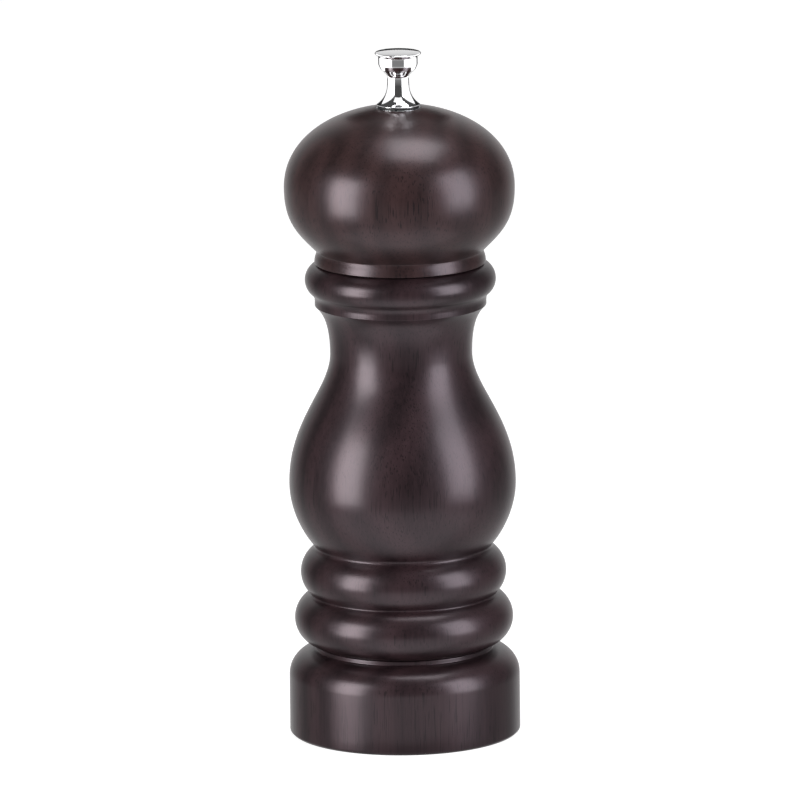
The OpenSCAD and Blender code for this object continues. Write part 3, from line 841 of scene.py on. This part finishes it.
class Wire:
    # a shader value: sums, differences and products of it add the Math nodes they need
    def __init__(self, wiring, socket):
        self.wiring = wiring
        self.socket = socket

    def math(self, operation, first, second):
        return self.wiring.add("ShaderNodeMath", {"operation": operation}, [first, second])

    def __add__(self, other):
        return self.math("ADD", self, other)

    def __sub__(self, other):
        return self.math("SUBTRACT", self, other)

    def __rsub__(self, other):
        return self.math("SUBTRACT", other, self)

    def __mul__(self, other):
        return self.math("MULTIPLY", self, other)

    __radd__ = __add__
    __rmul__ = __mul__

    def limited(self):
        # kept between 0 and 1
        return self.wiring.add("ShaderNodeClamp", {}, [self, 0.0, 1.0])

    def spread(self, low, high, toLow=0.0, toHigh=1.0):
        # the stretch from low to high becomes the stretch from toLow to toHigh
        return self.wiring.add("ShaderNodeMapRange", {}, [self, low, high, toLow, toHigh])


class Wiring:
    # a node tree: make() adds any node from its type, its settings and the values or
    # links of its sockets, and add() gives one of its outputs as a shader value
    def __init__(self, tree):
        self.tree = tree
        tree.nodes.clear()

    def feed(self, socket, value):
        if isinstance(value, Wire):
            self.tree.links.new(value.socket, socket)
        else:
            socket.default_value = value

    def make(self, kind, settings, sockets):
        node = self.tree.nodes.new(kind)
        for name, value in settings.items():
            setattr(node, name, value)
        named = sockets.items() if isinstance(sockets, dict) else enumerate(sockets)
        for name, value in named:
            self.feed(node.inputs[name], value)
        return node

    def add(self, kind, settings, sockets, output=0):
        return Wire(self, self.make(kind, settings, sockets).outputs[output])

    def place(self, scale=(1, 1, 1), move=(0, 0, 0)):
        # object coordinates, scaled and moved
        spot = self.add("ShaderNodeTexCoord", {}, {}, "Object")
        return self.add("ShaderNodeMapping", {}, {"Vector": spot, "Location": move, "Scale": scale})

    def noise(self, where, scale, detail=3.0, rough=0.5):
        sockets = {"Vector": where, "Scale": scale, "Detail": detail, "Roughness": rough}
        return self.add("ShaderNodeTexNoise", {}, sockets)

    def blend(self, share, first, second):
        # a colour between first, where share is 0, and second, where it is 1
        ends = [(*c, 1) if isinstance(c, tuple) else c for c in (first, second)]
        return self.add("ShaderNodeMix", {"data_type": "RGBA"}, {0: share, 6: ends[0], 7: ends[1]}, 2)

    def bump(self, height, strength, distance):
        sockets = {"Height": height, "Strength": strength, "Distance": distance}
        return self.add("ShaderNodeBump", {}, sockets)


class Finish(Wiring):
    # one material: its Principled shader, with the values that set() gives it
    def __init__(self, name, **shader):
        self.material = bpy.data.materials.new(name)
        self.material.use_nodes = True
        super().__init__(self.material.node_tree)
        self.shader = self.make("ShaderNodeBsdfPrincipled", {}, {})
        self.surface = Wire(self, self.shader.outputs[0])
        self.output = self.make("ShaderNodeOutputMaterial", {}, [self.surface])
        self.set(**shader)

    def set(self, **sockets):
        for name, value in sockets.items():
            self.feed(self.shader.inputs[name.replace("_", " ")], value)


woodLook = {
    "head": ((0.016, 0.0084, 0.0081), (0.042, 0.0214, 0.0212)),  # deep and warm tone
    "body": ((0.0075, 0.0042, 0.005), (0.034, 0.0185, 0.0212)),
    "pore": (0.004, 0.0024, 0.0024),
    "sheen": (1.0, 0.82, 0.92, 1),  # the stain's mauve cast in the lacquer's gloss
    "roughness": 0.34,
    "coat": 0.2,
    "coatRoughness": 0.22,
    "heart": {"headWood": (0.021, 0.013, 0.0), "bodyWood": (0.026, -0.017, 0.0)},
    "ringScale": 42.0,
    "fibreScale": 1300,
    "poreScale": 3600,
    "poreSpread": (0.6, 0.67),
    "grainRelief": 0.12,
}


def lacqueredWood(name, tones):
    # growth rings about a far-off heart line, broken by slow noise, with fine pores
    # along the grain, all dimmed by a dark stain under a satin lacquer
    v = woodLook
    wood = Finish(
        name, Coat_Weight=v["coat"], Coat_Roughness=v["coatRoughness"], Specular_Tint=v["sheen"]
    )
    along = wood.place(scale=(1, 1, 0.12), move=v["heart"][name])
    sway = wood.noise(along, 26, 2)
    rings = wood.add(
        "ShaderNodeTexWave", {"wave_type": "RINGS", "rings_direction": "Z", "wave_profile": "SIN"},
        {"Vector": along, "Scale": v["ringScale"], "Distortion": 5.0, "Detail": 3.0, "Detail Scale": 1.1},
    )
    cloud = wood.noise(wood.place(scale=(1, 1, 0.25)), 30, 3)
    fibre = wood.noise(wood.place(scale=(1, 1, 0.025)), v["fibreScale"], 3, 0.65)
    pores = wood.noise(wood.place(scale=(1, 1, 0.045)), v["poreScale"], 1, 0.4)
    tone = (rings * 0.35 + sway * 0.3 + cloud * 0.35 + fibre * 0.6).spread(0.45, 1.05)
    pore = pores.spread(*v["poreSpread"])
    stain = wood.blend(tone, *v[tones])
    wood.set(Base_Color=wood.blend(pore * 0.8, stain, v["pore"]))
    wood.set(Roughness=(cloud * 0.06 + fibre * 0.12 + v["roughness"] - 0.085).limited())
    wood.set(Normal=wood.bump(fibre * 0.6 + (1 - pore) * 0.4, v["grainRelief"], 0.0001))
    return wood.material


chromeLook = {
    "tones": ((0.90, 0.90, 0.915), (0.96, 0.96, 0.97)),
    "roughness": (0.035, 0.085),
    "lineRelief": 0.03,
}


def polishedChrome():
    # mirror plate with faint polishing lines round the axis and a slow haze
    v = chromeLook
    chrome = Finish("polishedChrome", Metallic=1.0, IOR=2.9)
    haze = chrome.noise(chrome.place(), 260, 3)
    lines = chrome.noise(chrome.place(scale=(1, 1, 60)), 90, 2)
    chrome.set(Base_Color=chrome.blend(haze, *v["tones"]))
    chrome.set(Roughness=haze.spread(0.2, 0.8, *v["roughness"]))
    chrome.set(Normal=chrome.bump(lines, v["lineRelief"], 0.00005))
    return chrome.material


metalLook = {
    # dark and light tone, lowest and highest roughness, how the lines are stretched
    "brightSteel": ((0.50, 0.51, 0.53), (0.66, 0.67, 0.68), 0.2, 0.34, (1, 1, 0.05)),
    "burrSteel": ((0.16, 0.16, 0.165), (0.30, 0.30, 0.305), 0.34, 0.5, (1, 1, 1)),
    "springSteel": ((0.42, 0.43, 0.45), (0.6, 0.61, 0.63), 0.2, 0.3, (1, 1, 1)),
    "screwSteel": ((0.42, 0.42, 0.43), (0.6, 0.6, 0.6), 0.25, 0.38, (1, 1, 0.4)),
    "turnedBrass": ((0.62, 0.43, 0.16), (0.78, 0.57, 0.25), 0.2, 0.32, (0.1, 0.1, 1)),
}


def drawnMetal(name):
    # metal with draw or lathe lines along one direction and a light mottling
    dark, light, low, high, stretch = metalLook[name]
    metal = Finish(name, Metallic=1.0)
    lines = metal.noise(metal.place(scale=stretch), 700, 3, 0.6)
    mottle = metal.noise(metal.place(), 220, 4)
    metal.set(Base_Color=metal.blend((mottle * 0.6 + lines * 0.4).spread(0.3, 0.7), dark, light))
    metal.set(Roughness=(lines * 0.5 + mottle * 0.5).spread(0.3, 0.7, low, high))
    metal.set(Normal=metal.bump(lines, 0.12, 0.00006))
    return metal.material


nylonLook = {
    "tones": ((0.012, 0.012, 0.013), (0.026, 0.026, 0.027)),
    "roughness": (0.45, 0.62),
    "grainRelief": 0.15,
}


def blackNylon():
    # moulded plastic with a fine even grain
    v = nylonLook
    nylon = Finish("blackNylon")
    grain = nylon.noise(nylon.place(), 2500, 2)
    nylon.set(Base_Color=nylon.blend(grain, *v["tones"]))
    nylon.set(Roughness=grain.spread(0.2, 0.8, *v["roughness"]))
    nylon.set(Normal=nylon.bump(grain, v["grainRelief"], 0.00005))
    return nylon.material


def paint(piece, material):
    piece.data.materials.clear()
    piece.data.materials.append(material)


print("finishes")
headWood = lacqueredWood("headWood", "head")
slotFinishes = {
    "lacquered_wood": lacqueredWood("bodyWood", "body"),
    "chrome": polishedChrome(),
    "bright_steel": drawnMetal("brightSteel"),
    "burr_steel": drawnMetal("burrSteel"),
    "spring_steel": drawnMetal("springSteel"),
    "screw_steel": drawnMetal("screwSteel"),
    "brass": drawnMetal("turnedBrass"),
    "nylon": blackNylon(),
}
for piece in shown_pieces():
    if "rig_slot" in piece:
        paint(piece, slotFinishes[piece["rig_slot"]])
paint(headShell, headWood)


studio = {
    "tilt": 12.0,  # how far down the camera looks, in degrees
    "lean": 0.64,  # roll of the camera, in degrees
    "distance": 3.0,
    "field": 0.1903,  # width of the view at the mill, in metres
    "aim": (-0.0004, 0.0, 0.0805),
    "flag": (0.016, 0.013, 0.1545, 0.1668),  # half width, how far back, bottom, top
    "floorHalf": 3.0,
    "floorTone": (0.4, 0.4, 0.4),
    "floorGlow": 0.86,  # the floor is a light table
}


softBoxes = {
    # azimuth, height, size, power, colour, distance, aim
    "leftBox": (-57, 0.19, (0.38, 0.66), 6.9, (1.0, 0.985, 0.98), 0.75, (0, 0, 0.085)),
    "rightBox": (62, 0.28, (0.42, 0.72), 5.4, (0.965, 0.965, 1.0), 0.75, (0, 0, 0.085)),
    "topBox": (90, 1.3, (0.7, 0.7), 8.5, (1, 1, 1), 0.2, (0, 0, 0.1)),
    "floorBox": (0, 0.001, (0.26, 0.13), 0.06, (1, 1, 1), 0.1, (0, -0.1, 1)),
}

knobCards = {
    "leftKnobCard": (-92, 0.17, (1.5, 1.0), 5.2, (1, 1, 1), 0.5, (0, 0, 0.165)),
    "rightKnobCard": (92, 0.17, (1.5, 1.0), 5.2, (1, 1, 1), 0.5, (0, 0, 0.165)),
    "upperKnobCard": (0, 0.62, (0.5, 0.3), 0.5, (1, 1, 1), 0.3, (0, 0, 0.165)),
}


def softBox(name, azimuth, height, size, power, colour, distance, aim):
    # a rectangular lamp round the mill: azimuth 0 stands at the camera, + to the right
    a = math.radians(azimuth)
    data = bpy.data.lights.new(name, "AREA")
    data.shape = "RECTANGLE"
    data.size, data.size_y = size
    data.energy = power
    data.color = colour
    lamp = bpy.data.objects.new(name, data)
    bpy.context.scene.collection.objects.link(lamp)
    spot = np.array([distance * math.sin(a), -distance * math.cos(a), height])
    lamp.location = spot
    lamp.rotation_euler = Vector(aim - spot).to_track_quat("-Z", "Y").to_euler()
    lamp.visible_camera = False
    return lamp


def lightOnly(lamp, piece):
    # the lamp shines on this piece and on nothing else
    lit = bpy.data.collections.new(lamp.name + "Lights")
    lit.objects.link(piece)
    lamp.light_linking.receiver_collection = lit


def stageSheet(name, corners):
    # one flat sheet of the studio, from its four corners
    mesh = bpy.data.meshes.new(name)
    mesh.from_pydata(corners, [], [(0, 1, 2, 3)])
    sheet = bpy.data.objects.new(name, mesh)
    bpy.context.scene.collection.objects.link(sheet)
    return sheet


def makeFlag():
    # a small black flag close behind the knob, which only its chrome can see: it draws
    # the dark edges of the knob against the bright backdrop
    half, back, low, high = studio["flag"]
    corners = [(-half, back, low), (half, back, low), (half, back, high), (-half, back, high)]
    flag = stageSheet("knobFlag", corners)
    paint(flag, Finish("flagCloth", Base_Color=(0.01, 0.01, 0.01, 1), Roughness=1.0).material)
    flag.visible_camera = False
    flag.visible_diffuse = False
    flag.visible_shadow = False


def makeFloor():
    half = studio["floorHalf"]
    corners = [(-half, -half, 0), (half, -half, 0), (half, half, 0), (-half, half, 0)]
    floor = stageSheet("floor", corners)
    paper = Finish(
        "palePaper", Roughness=0.9, Emission_Color=(1, 1, 1, 1), Emission_Strength=studio["floorGlow"]
    )
    speck = paper.noise(paper.place(), 30, 2)
    tone = studio["floorTone"]
    paper.set(Base_Color=paper.blend(speck, tuple(0.985 * c for c in tone), tone))
    # from underneath the floor is clear, so that the base can be looked at
    clear = paper.add("ShaderNodeBsdfTransparent", {}, {})
    underneath = paper.add("ShaderNodeNewGeometry", {}, {}, "Backfacing")
    sides = [underneath, paper.surface, clear]
    paper.feed(paper.output.inputs[0], paper.add("ShaderNodeMixShader", {}, sides))
    paint(floor, paper.material)
    floor.visible_diffuse = False
    floor.visible_glossy = False


def makeCamera():
    # looks at the aim from in front and above; its lens is sensor * distance / field
    data = bpy.data.cameras.new("camera")
    data.lens = data.sensor_width * studio["distance"] / studio["field"]
    data.clip_end = 20
    camera = bpy.data.objects.new("camera", data)
    bpy.context.scene.collection.objects.link(camera)
    tilt, lean = math.radians(studio["tilt"]), math.radians(studio["lean"])
    x, y, z = studio["aim"]
    d = studio["distance"]
    camera.location = (x, y - d * math.cos(tilt), z + d * math.sin(tilt))
    camera.rotation_euler = (math.pi / 2 - tilt, 0, 0)
    camera.rotation_euler.rotate_axis("Z", -lean)
    bpy.context.scene.camera = camera


roomLight = {"front": 0.066, "behind": 0.74, "below": 0.43}


def makeWorld():
    # seen directly the room is white; what the mill reflects is a dim room in front
    # and a bright backdrop behind it
    world = bpy.data.worlds.new("room")
    bpy.context.scene.world = world
    world.use_nodes = True
    room = Wiring(world.node_tree)
    direction = room.add("ShaderNodeTexCoord", {}, {}, "Generated")
    behind = room.add("ShaderNodeSeparateXYZ", {}, [direction], 1).spread(0.65, 1.0)
    below = room.add("ShaderNodeSeparateXYZ", {}, [direction], 2).spread(0.0, -0.55)
    seen = room.add("ShaderNodeLightPath", {}, [], "Is Camera Ray")
    v = roomLight
    light = v["front"] + behind * v["behind"] + below * v["below"]
    strength = light * (1 - seen) + seen
    backdrop = room.add("ShaderNodeBackground", {}, {"Color": (1, 1, 1, 1), "Strength": strength})
    room.make("ShaderNodeOutputWorld", {}, [backdrop])


print("studio")
makeFloor()
makeFlag()
makeCamera()
makeWorld()
for name, values in softBoxes.items():
    softBox(name, *values)
for name, values in knobCards.items():
    lightOnly(softBox(name, *values), knob)
bpy.context.scene.view_settings.view_transform = "Standard"
